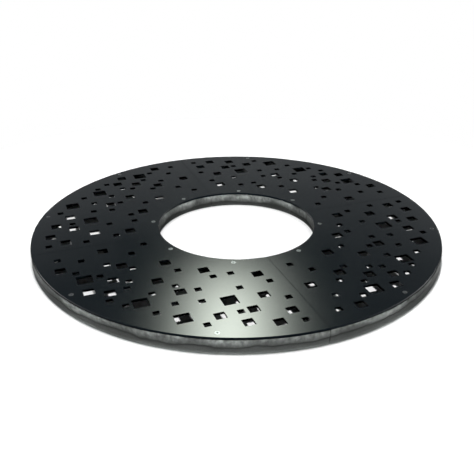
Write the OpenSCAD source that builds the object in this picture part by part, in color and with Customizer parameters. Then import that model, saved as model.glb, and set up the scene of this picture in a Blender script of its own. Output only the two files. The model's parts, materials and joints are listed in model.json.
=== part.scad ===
// Round tree grate: four perforated steel panels, screwed to a galvanised frame
// that is made in quarters and bolted together at the seams.
// Millimetres, +Z up. The origin is on the ground, at the middle of the tree opening.
// The seams lie on the X and Y axes, and quarter 1 fills the first quadrant.

/* [Overall] */
// Outside diameter of the frame
outer_d = 1500; // [1400:10:1800]
// Diameter of the tree opening in the panels
opening_d = 585; // [480:5:640]

/* [Panels] */
// Thickness of the panels
plate_t = 8; // [6:0.5:12]
// How far the panels lie back from the outer face of the frame
plate_setback = 2; // [0.5:0.5:4]
// How far the panels stand out over the inner strip, into the opening
plate_overhang = 3; // [1:0.5:6]
// Width of the seam between two panels
seam_gap = 1; // [0.5:0.5:5]

/* [Perforation] */
// Side of the small square holes
small_hole = 22; // [12:1:26]
// Side of the medium square holes
medium_hole = 35; // [26:1:38]
// Side of the large square holes
large_hole = 50; // [40:1:56]
// Least steel left between a hole and a screw head
screw_margin = 4; // [2:1:10]
// Least steel left between a hole and the rim of its panel
rim_margin = 6; // [4:1:20]

/* [Frame] */
// Thickness of the strips and of the end bars
strip_t = 6; // [4:0.5:10]
// Height of the strips and of the end bars, which all stand on the ground
strip_h = 48; // [40:1:120]
// Gap between the ends of two strips, in line with the seam
strip_gap = 2; // [1:0.5:5]
// Width of a screw lug along the strip
lug_w = 30; // [24:1:40]
// How far a screw lug stands out from its strip
lug_depth = 32; // [28:1:40]
// Thickness of a screw lug
lug_t = 12; // [10:1:16]

/* [Panel screws] */
// Thread diameter of the countersunk screws
screw_d = 8; // [6:1:10]
// Diameter of the screw heads
screw_head_d = 16; // [13:0.5:20]
// How far the screws reach past their lugs
screw_tip = 3; // [0:0.5:6]
// Size of the hexagon socket across its flats
socket_af = 5; // [4:1:6]
// Depth of the hexagon socket
socket_depth = 2.5; // [2:0.5:3]
// Distance of the screws from the rims of the panels
screw_inset = 22; // [21:0.5:26]
// Angle between an outer screw and the middle of its panel
outer_screw_angle = 20; // [12:1:30]
// Angle between an inner screw and the middle of its panel
inner_screw_angle = 22.5; // [15:0.5:28]

/* [Joint bolts] */
// Thread diameter of the bolts that join the quarters
bolt_d = 10; // [8:1:12]
// Distance of the joint bolts from the strips
bolt_inset = 70; // [45:5:120]
// How far the bolts reach past their nuts
bolt_tip = 6; // [2:0.5:12]
// Thickness of the washers
washer_t = 2; // [1.5:0.5:3]

/* [Hidden] */
QUARTERS = [1, 2, 3, 4];
PER_QUARTER = ["panel", "outer_strip", "inner_strip", "start_bar", "end_bar",
    "outer_lugs", "inner_lugs"];

PANEL_COLOUR = "#25292b";
ZINC_COLOUR = "#8d9090";
STEEL_COLOUR = "#b4b8ba";

// Centres of the square holes, in the quarter's own axes, for a panel that
// reaches from first_rim to last_rim. Fitted to the photo by a script outside this
// file, then rounded to 5 mm.
SMALL_HOLES = [
    [45, 685], [205, 580], [320, 610], [40, 555], [295, 485], [375, 470], [55, 445],
    [160, 450], [285, 415], [345, 370], [155, 355], [215, 355], [310, 275], [440, 500],
    [425, 390], [515, 430], [555, 385], [490, 330], [475, 290], [555, 225], [625, 180],
    [445, 210], [520, 155], [425, 105], [595, 100], [670, 70], [370, 50]];
MEDIUM_HOLES = [
    [120, 670], [60, 625], [205, 640], [165, 580], [270, 580], [105, 515], [340, 410],
    [75, 390], [230, 305], [390, 320], [335, 210], [545, 340], [520, 265], [670, 145],
    [475, 180], [515, 55], [605, 310]];
LARGE_HOLES = [[375, 555], [215, 510], [470, 430], [605, 230]];
first_rim = 292.5;
last_rim = 748;

// Radii, from the middle of the opening outwards
opening_r = opening_d / 2;
inner_face_r = opening_r + plate_overhang;
inner_back_r = inner_face_r + strip_t;
outer_r = outer_d / 2;
outer_back_r = outer_r - strip_t;
panel_r = outer_r - plate_setback;
inner_screw_r = opening_r + screw_inset;
outer_screw_r = panel_r - screw_inset;

// Height of the walking surface above the ground
panel_top = strip_h + plate_t;

// Where the joint bolts cross each seam
bolt_radii = [inner_back_r + bolt_inset, outer_back_r - bolt_inset];

// Proportions of standard fasteners, and the play that lets them be put in
head_cone_h = (screw_head_d - screw_d) / 2;
screw_play = 0.5;
thread_play = 0.1;
bolt_play = 0.5;
head_af = 1.6 * bolt_d;
head_h = 0.64 * bolt_d;
nut_h = 0.8 * bolt_d;
washer_d = 2 * bolt_d;
screw_l = plate_t + lug_t + screw_tip;
bolt_l = 2 * strip_t + 2 * washer_t + nut_h + bolt_tip;

// Cuts run this far past the faces they open
past = 1;
$fn = 48;
ARC_SIDES = 360;

// Draws its children in the place of one quarter, counted anticlockwise from +X.
module in_quarter(quarter) {
    rotate([0, 0, 90 * (quarter - 1)]) children();
}

// The plan of a quarter ring. Each end lies back from its seam by half the gap.
module quarter_ring(inside_r, outside_r, gap) {
    intersection() {
        difference() {
            circle(r = outside_r, $fn = ARC_SIDES);
            circle(r = inside_r, $fn = ARC_SIDES);
        }
        translate([gap / 2, gap / 2]) square(outside_r);
    }
}

// The angles of the two screws that one strip carries, from the quarter's X axis
function screw_angles(from_middle) = [45 - from_middle, 45 + from_middle];

function on_circle(radius, angle) = [radius * cos(angle), radius * sin(angle)];

function screw_places() = concat(
    [for (angle = screw_angles(inner_screw_angle)) on_circle(inner_screw_r, angle)],
    [for (angle = screw_angles(outer_screw_angle)) on_circle(outer_screw_r, angle)]);

// Moves a hole along its radius, so that the layout keeps its share of the panel.
function spread(place) =
    let (
        share = (norm(place) - first_rim) / (last_rim - first_rim),
        radius = opening_r + share * (panel_r - opening_r)
    )
    place * radius / norm(place);

// True for a hole that leaves enough steel to the rims and to the screw heads.
function fits(place, side) =
    let (
        reach = side / 2 * sqrt(2),
        screw_gaps = [for (screw = screw_places()) norm(place - screw)]
    )
    norm(place) - reach > opening_r + rim_margin
    && norm(place) + reach < panel_r - rim_margin
    && min(place.x, place.y) - side / 2 > seam_gap / 2 + rim_margin
    && min(screw_gaps) > reach + screw_head_d / 2 + screw_margin;

module square_holes(places, side) {
    for (place = places) {
        centre = spread(place);
        if (fits(centre, side)) {
            translate([centre.x, centre.y]) square(side, center = true);
        }
    }
}

// The cone that a screw head lies in, its mouth on the panel's top face
module countersink() {
    translate([0, 0, panel_top - head_cone_h])
        cylinder(d1 = screw_d, d2 = screw_head_d + 2 * past, h = head_cone_h + past);
}

// The hole for the thread of a panel screw, straight through between two heights
module screw_hole(bottom, top, play) {
    translate([0, 0, bottom - past])
        cylinder(d = screw_d + 2 * play, h = top - bottom + 2 * past);
}

// One quarter of the walking surface, with its holes
module panel(quarter) {
    color(PANEL_COLOUR) in_quarter(quarter) difference() {
        translate([0, 0, strip_h]) linear_extrude(plate_t) difference() {
            quarter_ring(opening_r, panel_r, seam_gap);
            square_holes(SMALL_HOLES, small_hole);
            square_holes(MEDIUM_HOLES, medium_hole);
            square_holes(LARGE_HOLES, large_hole);
        }
        for (place = screw_places()) translate([place.x, place.y]) {
            countersink();
            screw_hole(strip_h, panel_top, screw_play);
        }
    }
}

// The flat strip round the outside
module outer_strip(quarter) {
    color(ZINC_COLOUR) in_quarter(quarter)
        linear_extrude(strip_h) quarter_ring(outer_back_r, outer_r, strip_gap);
}

// The flat strip round the tree opening
module inner_strip(quarter) {
    color(ZINC_COLOUR) in_quarter(quarter)
        linear_extrude(strip_h) quarter_ring(inner_face_r, inner_back_r, strip_gap);
}

// A bar that closes the quarter frame along the X axis, drilled for the joint bolts
module seam_bar() {
    difference() {
        linear_extrude(strip_h) intersection() {
            quarter_ring(inner_back_r, outer_back_r, 0);
            square([outer_r, strip_t]);
        }
        for (radius = bolt_radii) {
            translate([radius, -past, strip_h / 2]) rotate([-90, 0, 0])
                cylinder(d = bolt_d + 2 * bolt_play, h = strip_t + 2 * past);
        }
    }
}

module start_bar(quarter) {
    color(ZINC_COLOUR) in_quarter(quarter) seam_bar();
}

module end_bar(quarter) {
    color(ZINC_COLOUR) in_quarter(quarter) mirror([1, -1, 0]) seam_bar();
}

// The two tapped lugs that one strip carries under the panel
module lugs(near_r, far_r, screw_r, from_middle) {
    for (angle = screw_angles(from_middle)) rotate([0, 0, angle]) difference() {
        translate([0, 0, strip_h - lug_t]) linear_extrude(lug_t) intersection() {
            difference() {
                circle(r = far_r, $fn = ARC_SIDES);
                circle(r = near_r, $fn = ARC_SIDES);
            }
            translate([0, -lug_w / 2]) square([outer_r, lug_w]);
        }
        translate([screw_r, 0]) {
            countersink();
            screw_hole(strip_h - lug_t, strip_h, thread_play);
        }
    }
}

module outer_lugs(quarter) {
    color(ZINC_COLOUR) in_quarter(quarter)
        lugs(outer_back_r - lug_depth, outer_back_r, outer_screw_r, outer_screw_angle);
}

module inner_lugs(quarter) {
    color(ZINC_COLOUR) in_quarter(quarter)
        lugs(inner_back_r, inner_back_r + lug_depth, inner_screw_r, inner_screw_angle);
}

// A countersunk screw with a hexagon socket, its head flush with the panel
module panel_screw() {
    translate([0, 0, panel_top]) difference() {
        union() {
            translate([0, 0, -head_cone_h])
                cylinder(d1 = screw_d, d2 = screw_head_d, h = head_cone_h);
            translate([0, 0, -screw_l]) cylinder(d = screw_d, h = screw_l - head_cone_h);
        }
        translate([0, 0, -socket_depth])
            cylinder(d = socket_af / cos(30), h = socket_depth + past, $fn = 6);
    }
}

module panel_screws(screw_r, from_middle) {
    color(STEEL_COLOUR) for (quarter = QUARTERS, angle = screw_angles(from_middle)) {
        in_quarter(quarter) rotate([0, 0, angle]) translate([screw_r, 0]) panel_screw();
    }
}

// Draws its children at each joint bolt, with +Z along the bolt and z = 0 in the seam.
module at_joints() {
    for (quarter = QUARTERS, radius = bolt_radii) {
        in_quarter(quarter) translate([radius, 0, strip_h / 2]) rotate([-90, 0, 0]) children();
    }
}

module hexagon(across_flats, height) {
    cylinder(d = across_flats / cos(30), h = height, $fn = 6);
}

module joint_bolts() {
    color(STEEL_COLOUR) at_joints() {
        translate([0, 0, -strip_t - washer_t - head_h]) hexagon(head_af, head_h);
        translate([0, 0, -strip_t - washer_t]) cylinder(d = bolt_d, h = bolt_l);
    }
}

module joint_washers() {
    color(STEEL_COLOUR) at_joints() {
        for (start = [-strip_t - washer_t, strip_t]) {
            translate([0, 0, start]) difference() {
                cylinder(d = washer_d, h = washer_t);
                translate([0, 0, -past])
                    cylinder(d = bolt_d + 2 * bolt_play, h = washer_t + 2 * past);
            }
        }
    }
}

module joint_nuts() {
    color(STEEL_COLOUR) at_joints() translate([0, 0, strip_t + washer_t]) difference() {
        hexagon(head_af, nut_h);
        translate([0, 0, -past]) cylinder(d = bolt_d + 2 * thread_play, h = nut_h + 2 * past);
    }
}

for (quarter = QUARTERS) {
    panel(quarter);
    outer_strip(quarter);
    inner_strip(quarter);
    start_bar(quarter);
    end_bar(quarter);
    outer_lugs(quarter);
    inner_lugs(quarter);
}
panel_screws(outer_screw_r, outer_screw_angle);  // outer_screws
panel_screws(inner_screw_r, inner_screw_angle);  // inner_screws
joint_bolts();
joint_washers();
joint_nuts();
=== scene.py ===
import json
import math

import bmesh
import bpy
from mathutils import Matrix, Vector


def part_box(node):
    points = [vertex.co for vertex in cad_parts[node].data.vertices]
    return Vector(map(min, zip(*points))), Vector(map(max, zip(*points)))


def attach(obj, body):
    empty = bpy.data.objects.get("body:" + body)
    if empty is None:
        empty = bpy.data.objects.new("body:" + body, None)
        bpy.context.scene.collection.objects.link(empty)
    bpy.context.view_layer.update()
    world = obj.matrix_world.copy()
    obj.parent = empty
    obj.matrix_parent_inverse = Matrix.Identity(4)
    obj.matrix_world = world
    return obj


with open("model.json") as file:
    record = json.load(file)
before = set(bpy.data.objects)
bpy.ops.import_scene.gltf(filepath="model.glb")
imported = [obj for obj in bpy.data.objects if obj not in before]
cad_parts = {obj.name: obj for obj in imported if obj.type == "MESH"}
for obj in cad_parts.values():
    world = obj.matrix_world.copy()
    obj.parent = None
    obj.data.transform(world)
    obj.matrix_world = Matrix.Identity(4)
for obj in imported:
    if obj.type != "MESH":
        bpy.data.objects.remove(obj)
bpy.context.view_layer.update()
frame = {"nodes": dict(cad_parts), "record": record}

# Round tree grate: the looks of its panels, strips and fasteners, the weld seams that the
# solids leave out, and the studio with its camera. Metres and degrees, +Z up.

# Sizes that are read from the frame
STRIP_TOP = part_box("outer_strip_1")[1].z
PANEL_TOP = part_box("panel_1")[1].z
OUTER_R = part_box("outer_strip_1")[1].x
STRIP_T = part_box("start_bar_1")[1].y
OUTER_BACK_R = OUTER_R - STRIP_T
INNER_BACK_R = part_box("inner_strip_1")[1].x
INNER_FACE_R = INNER_BACK_R - STRIP_T
LUG_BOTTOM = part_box("outer_lugs_1")[0].z

QUARTERS = (1, 2, 3, 4)

# Places in the studio are told as the photographer stands: x to the right of the view,
# y away from the camera, z up. The grate itself is turned in that view.
VIEW_TURN = math.radians(20.88)
RIGHT = Vector((math.cos(VIEW_TURN), -math.sin(VIEW_TURN), 0))
AWAY = Vector((math.sin(VIEW_TURN), math.cos(VIEW_TURN), 0))
UP = Vector((0, 0, 1))

# Smooth noise seldom leaves this range
NOISE_RANGE = (0.3, 0.7)


def in_studio(x, y, z):
    return RIGHT * x + AWAY * y + UP * z


class Shader:
    """A new material or world, with short calls for the nodes that it is made of."""

    def __init__(self, name, world=None):
        self.material = world or bpy.data.materials.new(name)
        self.material.use_nodes = True
        self.tree = self.material.node_tree
        self.tree.nodes.clear()
        kind = "ShaderNodeOutputWorld" if world else "ShaderNodeOutputMaterial"
        self.output = self.tree.nodes.new(kind)

    def add(self, kind, sockets=None, **settings):
        node = self.tree.nodes.new(kind)
        for name, value in settings.items():
            setattr(node, name, value)
        for name, value in (sockets or {}).items():
            self.feed(node.inputs[name], value)
        return node

    def feed(self, socket, value):
        if isinstance(value, bpy.types.NodeSocket):
            self.tree.links.new(value, socket)
        else:
            socket.default_value = value

    def show(self, closure):
        self.feed(self.output.inputs["Surface"], closure.outputs[0])

    def surface(self, **sockets):
        """Shows a Principled surface, whose sockets are named with _ for each space."""
        spaced = {name.replace("_", " "): value for name, value in sockets.items()}
        self.show(self.add("ShaderNodeBsdfPrincipled", spaced))

    def coordinates(self):
        """Object coordinates, in metres."""
        return self.add("ShaderNodeTexCoord").outputs["Object"]

    def place(self, stretch=(1, 1, 1)):
        """Object coordinates, multiplied along each axis."""
        sockets = {"Vector": self.coordinates(), "Scale": stretch}
        return self.add("ShaderNodeMapping", sockets).outputs[0]

    def split(self, vector):
        """The X, Y and Z of a vector, by name."""
        return self.add("ShaderNodeSeparateXYZ", {"Vector": vector}).outputs

    def noise(self, size, detail=3, stretch=(1, 1, 1)):
        """Smooth noise from 0 to 1 with features about as large as size."""
        node = self.add("ShaderNodeTexNoise",
                        {"Vector": self.place(stretch), "Scale": 0.5 / size, "Detail": detail})
        return node.outputs["Fac"]

    def crystals(self, size):
        """A tone for each crystal of a pattern of crystals about as large as size."""
        cells = self.add("ShaderNodeTexVoronoi", {"Vector": self.place(), "Scale": 1 / size})
        return self.add("ShaderNodeSeparateColor", {"Color": cells.outputs["Color"]}).outputs[0]

    def spread(self, value, low, high, start=0.0, end=1.0):
        """Maps the values from start to end onto those from low to high."""
        node = self.add("ShaderNodeMapRange",
                        {"Value": value, "From Min": start, "From Max": end,
                         "To Min": low, "To Max": high})
        return node.outputs["Result"]

    def combine(self, kind, operation, *values):
        node = self.add(kind, operation=operation)
        for socket, value in zip(node.inputs, values):
            self.feed(socket, value)
        return node.outputs

    def math(self, operation, first, second=0):
        return self.combine("ShaderNodeMath", operation, first, second)[0]

    def vector_math(self, operation, *vectors):
        return self.combine("ShaderNodeVectorMath", operation, *vectors)

    def scale_colour(self, colour, factor):
        node = self.add("ShaderNodeVectorMath", {"Scale": factor}, operation="SCALE")
        self.feed(node.inputs[0], colour)
        return node.outputs[0]

    def mix(self, share, first, second):
        node = self.add("ShaderNodeMix", data_type="RGBA")
        self.feed(node.inputs["Factor"], share)
        self.feed(node.inputs[6], first)
        self.feed(node.inputs[7], second)
        return node.outputs[2]

    def mix_closures(self, share, first, second):
        node = self.add("ShaderNodeMixShader", {"Fac": share})
        self.feed(node.inputs[1], first.outputs[0])
        self.feed(node.inputs[2], second.outputs[0])
        return node

    def ramp(self, value, stops):
        """Grey levels along a value, given as pairs of a place and a level."""
        node = self.add("ShaderNodeValToRGB", {"Fac": value})
        elements = node.color_ramp.elements
        for place, level in stops[1:-1]:
            elements.new(place)
        for element, (place, level) in zip(elements, stops):
            element.position = place
            element.color = (level, level, level, 1)
        return node.outputs["Color"]

    def bump(self, height, distance, strength=1.0, under=None):
        sockets = {"Height": height, "Distance": distance, "Strength": strength}
        if under:
            sockets["Normal"] = under
        return self.add("ShaderNodeBump", sockets).outputs["Normal"]


def grey(level, warmth=0.0):
    return (level * (1 + warmth), level, level * (1 - warmth), 1)


# Powder coat of the panels
COAT_DARK = (0.0032, 0.0058, 0.0078, 1)
COAT_LIGHT = (0.0056, 0.0084, 0.0104, 1)
COAT_CLOUD = 0.25
COAT_ROUGHNESS = (0.14, 0.17)
COAT_ROUGHNESS_PATCH = 0.05
COAT_SHINE = 0.5
PEEL_SIZE = 0.0012
PEEL_HEIGHT = 0.00001
WAVE_SIZE = 0.09
WAVE_HEIGHT = 0.0004
SEAM_EDGE = 0.0010
SEAM_SHINE = 0.20


def powder_coat():
    """A dark glossy coat with some orange peel.

    It is less shiny close to the seams, and plain dark metal on the upright faces of the cuts.
    """
    shader = Shader("black_powder_coat")
    clouds = shader.noise(COAT_CLOUD, detail=4)
    colour = shader.mix(shader.spread(clouds, 0, 1, *NOISE_RANGE), COAT_DARK, COAT_LIGHT)
    facing = shader.split(shader.add("ShaderNodeNewGeometry").outputs["Normal"])
    cut_face = shader.math("LESS_THAN", shader.math("ABSOLUTE", facing["Z"]), 0.5)
    peel = shader.bump(shader.noise(PEEL_SIZE, detail=2), PEEL_HEIGHT, 0.6)
    waves = shader.bump(shader.noise(WAVE_SIZE, detail=1), WAVE_HEIGHT, 0.5, under=peel)
    roughness = shader.spread(shader.noise(COAT_ROUGHNESS_PATCH), *COAT_ROUGHNESS)
    place = shader.split(shader.place())
    from_seam = shader.math("MINIMUM", shader.math("ABSOLUTE", place["X"]),
                            shader.math("ABSOLUTE", place["Y"]))
    shine = shader.spread(from_seam, SEAM_SHINE, COAT_SHINE, SEAM_EDGE, 2 * SEAM_EDGE)
    shader.surface(Base_Color=colour, Metallic=cut_face, Roughness=roughness,
                   Specular_IOR_Level=shine, Normal=waves)
    return shader.material


# Zinc of the strips, bars, lugs and weld seams
ZINC_TONE = 0.15
ZINC_TINT = (0.945, 1.0, 0.955)
ZINC_ROUGHNESS = (0.22, 0.46)
# Sizes of its features, with the lowest and highest tone that each gives, or its height
CRYSTAL_SIZE = 0.014
CRYSTAL_TONES = (0.80, 1.20)
CRYSTAL_HEIGHT = 0.00015
CLOUD_SIZE = 0.028
CLOUD_TONES = (0.65, 1.4)
SPECK_SIZE = 0.006
SPECK_TONES = (0.55, 1.5)
RUN_SIZE = 0.006
RUN_HEIGHT = 0.0025
GRAIN_SIZE = 0.0025
GRAIN_HEIGHT = 0.0002
# The waves of the painted dark line, and how far they swing, as a share of the strips' height
LINE_WAVE_SIZE = 0.045
LINE_SWING = 0.13
# Tone of the strips from the ground, at 0, to their upper edge, at 1: painted sheen and shade,
# lighter towards the upper edge where the zinc would mirror the bright sky, darker at mid-height
# where it would mirror the shaded floor
OUTER_PAINTED_BAND = ((0.0, 0.44), (0.34, 0.43), (0.42, 0.36), (0.48, 0.22), (0.54, 0.19),
              (0.62, 0.34), (0.80, 0.54), (1.0, 0.72))
INNER_PAINTED_BAND = ((0.0, 0.29), (0.26, 0.31), (0.34, 0.27), (0.42, 0.42), (0.54, 0.76),
              (0.72, 1.02), (0.90, 1.25), (1.0, 0.90))
# Share of the height at which the rough upper part begins
OUTER_ROUGH_FROM = 0.5
INNER_ROUGH_FROM = 0.34
# Painted light: how much lighter the zinc is close to the ground, for the bright floor that it
# would mirror there, by the height in metres
PAINTED_FOOT_LIGHT = ((0.0, 4.5), (0.003, 3.0), (0.006, 1.8), (0.010, 1.15), (0.014, 1.0), (1.0, 1.0))


def galvanised(name, painted_bands, rough_from):
    """Zinc, rough and spangled above a wavy dark line of painted shade, smooth below it."""
    shader = Shader(name)
    crystals = shader.crystals(CRYSTAL_SIZE)
    clouds = shader.noise(CLOUD_SIZE, detail=4)
    specks = shader.noise(SPECK_SIZE, stretch=(1, 1, 0.7))
    mottling_and_painted_sheen = shader.math("MULTIPLY", shader.spread(clouds, *CLOUD_TONES, *NOISE_RANGE),
                           shader.spread(specks, *SPECK_TONES, *NOISE_RANGE))
    mottling_and_painted_sheen = shader.math("MULTIPLY", mottling_and_painted_sheen, shader.spread(crystals, *CRYSTAL_TONES))

    height = shader.split(shader.coordinates())["Z"]
    waves = shader.spread(shader.noise(LINE_WAVE_SIZE), -LINE_SWING, LINE_SWING, *NOISE_RANGE)
    share = shader.math("ADD", shader.math("DIVIDE", height, STRIP_TOP), waves)
    rough_part = shader.ramp(share, ((0.0, 0.0), (rough_from, 0.0), (rough_from + 0.10, 0.5),
                                     (rough_from + 0.25, 0.85), (1.0, 1.0)))
    mottling_and_painted_sheen = shader.spread(rough_part, 1.0, mottling_and_painted_sheen)
    # Painted sheen and shade along the height of the strip
    mottling_and_painted_sheen = shader.math("MULTIPLY", mottling_and_painted_sheen, shader.ramp(share, painted_bands))
    # Painted light from the floor at the foot of the strips
    mottling_and_painted_sheen = shader.math("MULTIPLY", mottling_and_painted_sheen, shader.ramp(height, PAINTED_FOOT_LIGHT))
    tone = tuple(level * ZINC_TONE for level in ZINC_TINT)
    colour = shader.scale_colour(tone, mottling_and_painted_sheen)
    roughness = shader.spread(rough_part, *ZINC_ROUGHNESS)

    # The runs lie along the strips, and so does the grain that spreads the shine upwards.
    dents = shader.bump(crystals, CRYSTAL_HEIGHT, 0.5)
    runs = shader.math("SUBTRACT", shader.noise(RUN_SIZE, detail=1, stretch=(0.1, 0.1, 1)), 0.5)
    runs = shader.bump(shader.math("MULTIPLY", runs, rough_part), RUN_HEIGHT, under=dents)
    grain = shader.bump(shader.noise(GRAIN_SIZE), GRAIN_HEIGHT, 0.4, under=runs)
    around = shader.add("ShaderNodeTangent", direction_type="RADIAL", axis="Z").outputs[0]
    shader.surface(Base_Color=colour, Metallic=0.85, Roughness=roughness,
                   Specular_Tint=grey(0.5), Normal=grain, Tangent=around,
                   Anisotropic=0.95, Anisotropic_Rotation=0.25)
    return shader.material


def fastener_metal(name, mark_size, tones, roughness, mark_height):
    """Bare metal with small marks, between two tones."""
    shader = Shader(name)
    marks = shader.noise(mark_size, detail=4)
    shader.surface(Base_Color=shader.mix(marks, *tones), Metallic=1.0,
                   Roughness=shader.spread(marks, *roughness),
                   Normal=shader.bump(marks, mark_height, 0.4))
    return shader.material


def turned_steel():
    return fastener_metal("turned_steel", 0.0015, (grey(0.17, -0.04), grey(0.26, -0.04)),
                          (0.29, 0.35), 0.00003)


def plated_zinc():
    return fastener_metal("plated_zinc", 0.004, (grey(0.34, 0.02), grey(0.50, 0.03)),
                          (0.30, 0.42), 0.00005)


def dress_nodes(looks):
    """Gives each CAD node the look of its kind, or else that of its slot in the record."""
    slots = {part["node"]: part["material_slot"] for part in frame["record"]["subparts"]}
    for name, node in frame["nodes"].items():
        look = looks.get(name.rstrip("_1234")) or looks[slots[name]]
        for material_slot in node.material_slots:
            material_slot.material = look


# Weld seams
BAR_BEAD = 0.0045
BAR_BEAD_FROM = 0.004
BAR_BEAD_UNDER_PANEL = 0.003
LUG_BEAD = 0.004
LUG_BEAD_LENGTH = 0.026
BEAD_RIPPLE = 0.0022
BEAD_RIPPLE_SHARE = 0.10
BEAD_CROWN = 0.12
BEAD_ROUNDING = 1.4
BEAD_END = 0.25
BEAD_END_SLOPE = 6
RINGS_PER_RIPPLE = 4
FEWEST_RINGS = 6
STEPS_ACROSS = 6


def add_piece(name, mesh, material):
    for polygon in mesh.polygons:
        polygon.use_smooth = True
    piece = bpy.data.objects.new(name, mesh)
    piece.data.materials.append(material)
    bpy.context.scene.collection.objects.link(piece)
    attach(piece, "root")


def weld_bead(mesh, start, end, side_a, side_b, size):
    """Adds a rippled fillet from start to end, in the corner between two faces.

    side_a and side_b point along the faces, away from the corner.
    """
    length = (end - start).length
    rings = max(FEWEST_RINGS, round(length / BEAD_RIPPLE * RINGS_PER_RIPPLE))
    rows = []
    for ring in range(rings + 1):
        share = ring / rings
        corner = start.lerp(end, share)
        taper = min(1, BEAD_END_SLOPE * min(share, 1 - share) + BEAD_END)
        wave = 1 + BEAD_RIPPLE_SHARE * math.cos(2 * math.pi * share * length / BEAD_RIPPLE)
        reach = size * taper * wave
        row = []
        for step in range(STEPS_ACROSS + 1):
            turn = math.pi / 2 * step / STEPS_ACROSS
            crown = 1 + BEAD_CROWN * math.sin(2 * turn)
            outward = side_a * math.cos(turn) ** BEAD_ROUNDING
            outward = outward + side_b * math.sin(turn) ** BEAD_ROUNDING
            row.append(mesh.verts.new(corner + outward * reach * crown))
        rows.append(row)
    for row, next_row in zip(rows, rows[1:]):
        for step in range(STEPS_ACROSS):
            mesh.faces.new((row[step], row[step + 1], next_row[step + 1], next_row[step]))


def bar_seams(mesh, turn):
    """The upright beads at both ends of the two bars that close a quarter."""
    low = BAR_BEAD_FROM
    high = STRIP_TOP - BAR_BEAD_UNDER_PANEL
    for mirrored in (False, True):
        def place(x, y, z):
            point = Vector((y, x, z)) if mirrored else Vector((x, y, z))
            return turn @ point
        for radius, inward in ((OUTER_BACK_R, -1), (INNER_BACK_R, 1)):
            x = math.sqrt(radius ** 2 - STRIP_T ** 2)
            weld_bead(mesh, place(x, STRIP_T, low), place(x, STRIP_T, high),
                      place(inward, 0, 0), place(0, 1, 0), BAR_BEAD)


def lug_angles(node, turn):
    """The angles of a node's two lugs, in the quarter's own axes."""
    corners = [turn.inverted() @ vertex.co for vertex in frame["nodes"][node].data.vertices]
    angles = [math.atan2(corner.y, corner.x) for corner in corners]
    middle = math.radians(45)
    first = [angle for angle in angles if angle < middle]
    last = [angle for angle in angles if angle > middle]
    return [(min(group) + max(group)) / 2 for group in (first, last)]


def lug_seams(mesh, node, turn, radius, inward):
    """The level bead under each lug of a node, where it meets its strip."""
    half = LUG_BEAD_LENGTH / 2
    for angle in lug_angles(node, turn):
        outward = Vector((math.cos(angle), math.sin(angle), 0))
        sideways = Vector((-math.sin(angle), math.cos(angle), 0))
        reach = math.sqrt(radius ** 2 - half ** 2) if inward < 0 else radius
        middle = outward * reach + UP * LUG_BOTTOM
        weld_bead(mesh, turn @ (middle - sideways * half), turn @ (middle + sideways * half),
                  turn @ (outward * inward), -UP, LUG_BEAD)


def weld_seams(material):
    mesh = bmesh.new()
    for quarter in QUARTERS:
        turn = Matrix.Rotation(math.radians(90 * (quarter - 1)), 3, "Z")
        bar_seams(mesh, turn)
        lug_seams(mesh, f"outer_lugs_{quarter}", turn, OUTER_BACK_R, -1)
        lug_seams(mesh, f"inner_lugs_{quarter}", turn, INNER_BACK_R, 1)
    bmesh.ops.recalc_face_normals(mesh, faces=mesh.faces)
    data = bpy.data.meshes.new("weld_seams")
    mesh.to_mesh(data)
    mesh.free()
    add_piece("weld_seams", data, material)


# Camera, with the place and lens that a script outside this file fitted to the photograph
SENSOR_WIDTH = 36
LENS = 49.83
CAMERA_X = 0.0041
CAMERA_Y = -2.2448
CAMERA_ABOVE_PANELS = 1.0512
CAMERA_DOWN = 26.353
CAMERA_TURN = 0.044


def camera():
    data = bpy.data.cameras.new("camera")
    data.sensor_width = SENSOR_WIDTH
    data.lens = LENS
    holder = bpy.data.objects.new("camera", data)
    holder.location = in_studio(CAMERA_X, CAMERA_Y, CAMERA_ABOVE_PANELS + PANEL_TOP)
    holder.rotation_euler = (math.radians(90 - CAMERA_DOWN), 0,
                             math.radians(CAMERA_TURN) - VIEW_TURN)
    bpy.context.scene.collection.objects.link(holder)
    bpy.context.scene.camera = holder


def sheet(name, corners, material):
    """A single flat face of the studio."""
    mesh = bpy.data.meshes.new(name)
    mesh.from_pydata(corners, [], [(0, 1, 2, 3)])
    mesh.materials.append(material)
    piece = bpy.data.objects.new(name, mesh)
    bpy.context.scene.collection.objects.link(piece)
    return piece


# Floor. It turns white between two distances from the middle of the grate.
FLOOR_HALF = 40.0
FLOOR_WHITE_FROM = 0.95
FLOOR_WHITE_TO = 1.6
FLOOR_TONE = 0.6
# What is added where the floor is seen and not only lights the grate
FLOOR_LIFT = 0.5
# How far an edge shades the floor, and the open share of the sky at which it is darkest
SHADE_REACH = 0.12
SHADE_SAMPLES = 8
SHADE_OPEN = 0.5
# Tone of the shaded floor, in the light that it gives, from closed sky to open
CLOSE_SHADE = (0.25, 1.0)
# Tone of its darkest part as the camera sees it, from the inner strip to the outer one, and
# the open share of the sky at which that shade ends
TIGHT_SHADE = (0.70, 0.46)
TIGHT_END = 0.66
# Painted shade of the floor under the panels
UNDER_SHADE = 0.8


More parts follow.
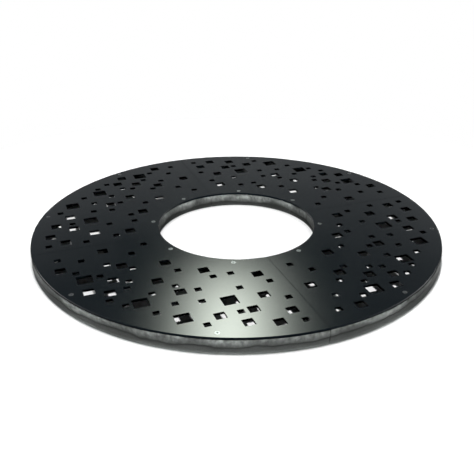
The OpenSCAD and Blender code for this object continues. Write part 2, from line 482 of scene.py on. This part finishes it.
def floor():
    shader = Shader("floor")
    radius = shader.vector_math("LENGTH", shader.coordinates())["Value"]
    far = shader.spread(radius, 0, 1, FLOOR_WHITE_FROM, FLOOR_WHITE_TO)
    path = shader.add("ShaderNodeLightPath").outputs
    seen = shader.math("MAXIMUM", path["Is Camera Ray"], path["Is Glossy Ray"])
    seen = shader.math("MAXIMUM", seen, path["Is Transmission Ray"])

    # Close to the strips the floor has painted shade from an occlusion node, and under the panels
    # a plain painted shade instead.
    open_sky = shader.add("ShaderNodeAmbientOcclusion", {"Distance": SHADE_REACH},
                          samples=SHADE_SAMPLES).outputs["AO"]
    under = shader.math("MULTIPLY", shader.math("GREATER_THAN", radius, INNER_FACE_R),
                        shader.math("LESS_THAN", radius, OUTER_R))
    close = shader.spread(open_sky, *CLOSE_SHADE, SHADE_OPEN, 1.0)
    darkest = shader.spread(radius, *TIGHT_SHADE, INNER_FACE_R, OUTER_R)
    tight = shader.spread(open_sky, darkest, 1.0, SHADE_OPEN, TIGHT_END)
    shade = shader.mix(path["Is Camera Ray"], close, tight)
    shade = shader.mix(under, shade, grey(UNDER_SHADE))

    paint = shader.add("ShaderNodeBsdfDiffuse", {"Color": shader.scale_colour(shade, FLOOR_TONE)})
    lift = shader.add("ShaderNodeBsdfDiffuse", {"Color": shader.scale_colour(shade, FLOOR_LIFT)})
    nothing = shader.add("ShaderNodeEmission", {"Strength": 0.0})
    white = shader.add("ShaderNodeEmission", {"Color": grey(1.0), "Strength": 1.0})
    near = shader.add("ShaderNodeAddShader")
    shader.feed(near.inputs[0], paint.outputs[0])
    shader.feed(near.inputs[1], shader.mix_closures(seen, nothing, lift).outputs[0])
    shader.show(shader.mix_closures(shader.math("MULTIPLY", seen, far), near, white))

    half = FLOOR_HALF
    plane = sheet("floor", [(-half, -half, 0), (half, -half, 0), (half, half, 0),
                            (-half, half, 0)], shader.material)


# High lamp
KEY_PLACE = (-0.25, -0.03, 10.0)
KEY_SIZE = 0.55
KEY_POWER = 930.0


def key_lamp():
    data = bpy.data.lights.new("key", "AREA")
    data.shape = "DISK"
    data.size = KEY_SIZE
    data.energy = KEY_POWER
    lamp = bpy.data.objects.new("key", data)
    lamp.location = in_studio(*KEY_PLACE)
    bpy.context.scene.collection.objects.link(lamp)


# The softbox that the front panel mirrors. It is brightest along its middle, and its glow
# widens from the lower edge to the upper one.
CARD_Y = 3.0
CARD_X = -0.066
CARD_HALF = 1.0
CARD_LOW = 1.60
CARD_HIGH = 4.0
CARD_GLOW = 13.7
CARD_TINT = (0.92, 1.0, 0.89, 1)
CARD_SPREAD = (0.243, 0.408)
CARD_UPWARD = ((0.0, 0.0), (0.06, 0.03), (0.11, 0.135), (0.16, 0.27), (0.22, 0.52),
               (0.29, 0.75), (0.36, 0.94), (0.42, 1.0), (1.0, 1.0))


def softbox():
    shader = Shader("softbox")
    place = shader.split(shader.coordinates())
    height = CARD_HIGH - CARD_LOW
    share = shader.math("DIVIDE", place["Z"], height)
    spread = shader.spread(share, *CARD_SPREAD)

    # A bell curve across the sheet
    across = shader.math("DIVIDE", place["X"], spread)
    across = shader.math("MULTIPLY", across, across)
    across = shader.math("POWER", math.exp(-0.5), across)
    strength = shader.math("MULTIPLY", across, shader.ramp(share, CARD_UPWARD))
    strength = shader.math("MULTIPLY", strength, CARD_GLOW)
    shader.show(shader.add("ShaderNodeEmission", {"Color": CARD_TINT, "Strength": strength}))

    half = CARD_HALF
    card = sheet("softbox", [(-half, 0, 0), (half, 0, 0), (half, 0, height), (-half, 0, height)],
                 shader.material)
    card.location = in_studio(CARD_X, CARD_Y, CARD_LOW)
    card.rotation_euler = (0, 0, -VIEW_TURN)
    card.visible_camera = False
    card.visible_diffuse = False


# Brightness of the surroundings, by the sine of the angle above the horizon, in front of
# the grate, where the photographer stands, and behind it
SKY_FRONT = ((0.0, 30.0), (0.05, 30.0), (0.09, 14.0), (0.15, 4.0), (0.30, 0.5), (0.50, 0.05),
             (1.0, 0.05))
SKY_BACK = ((0.0, 1.0), (0.04, 0.70), (0.10, 0.38), (0.335, 0.275), (0.355, 0.24),
            (0.375, 0.185), (0.42, 0.11), (0.50, 0.05), (1.0, 0.05))
# The front sky from behind the photographer, at 0, round to the far side of the grate, at 1
SKY_ROUND = ((0.0, 1.0), (0.16, 1.0), (0.20, 0.05), (0.28, 0.05), (0.33, 1.6), (0.49, 1.6),
             (0.52, 0.03), (1.0, 0.03))
# How much brighter the back sky is to the left and the right of the view
SKY_SIDES = ((0.0, 1.0), (0.20, 1.0), (0.25, 1.2), (0.30, 1.65), (0.36, 1.65), (0.48, 0.3),
             (0.68, 0.3), (0.78, 9.0), (1.0, 9.0))
# Where the front sky turns into the back sky, by how far a direction points away
SKY_TURN = (0.25, 0.45)
SKY_TINT = (0.985, 1.0, 1.01)


def surroundings():
    """The light of the sky, which the camera itself sees as plain white."""
    world = bpy.data.worlds.new("studio")
    bpy.context.scene.world = world
    shader = Shader("studio", world)
    direction = shader.add("ShaderNodeTexCoord").outputs["Generated"]
    upward = shader.split(direction)["Z"]
    away = shader.vector_math("DOT_PRODUCT", direction, AWAY)["Value"]
    aside = shader.vector_math("DOT_PRODUCT", direction, RIGHT)["Value"]
    round_share = shader.spread(away, 0, 1, -1, 1)
    front = shader.scale_colour(shader.ramp(upward, SKY_FRONT),
                                shader.ramp(round_share, SKY_ROUND))
    back = shader.scale_colour(shader.ramp(upward, SKY_BACK),
                               shader.ramp(shader.math("ABSOLUTE", aside), SKY_SIDES))
    sky = shader.mix(shader.spread(away, 0, 1, *SKY_TURN), front, back)
    sky = shader.vector_math("MULTIPLY", sky, SKY_TINT)[0]
    light = shader.add("ShaderNodeBackground", {"Color": sky})
    white = shader.add("ShaderNodeBackground", {"Color": grey(1.0)})
    seen = shader.add("ShaderNodeLightPath").outputs["Is Camera Ray"]
    shader.show(shader.mix_closures(seen, light, white))


bpy.context.scene.view_settings.view_transform = "Standard"
camera()
floor()
surroundings()
key_lamp()
softbox()

zinc = galvanised("galvanised_strip", OUTER_PAINTED_BAND, OUTER_ROUGH_FROM)
dress_nodes({
    "inner_strip": galvanised("galvanised_inner_strip", INNER_PAINTED_BAND, INNER_ROUGH_FROM),
    "panel": powder_coat(),
    "frame_zinc": zinc,
    "screw_steel": turned_steel(),
    "bolt_zinc": plated_zinc(),
})
weld_seams(zinc)
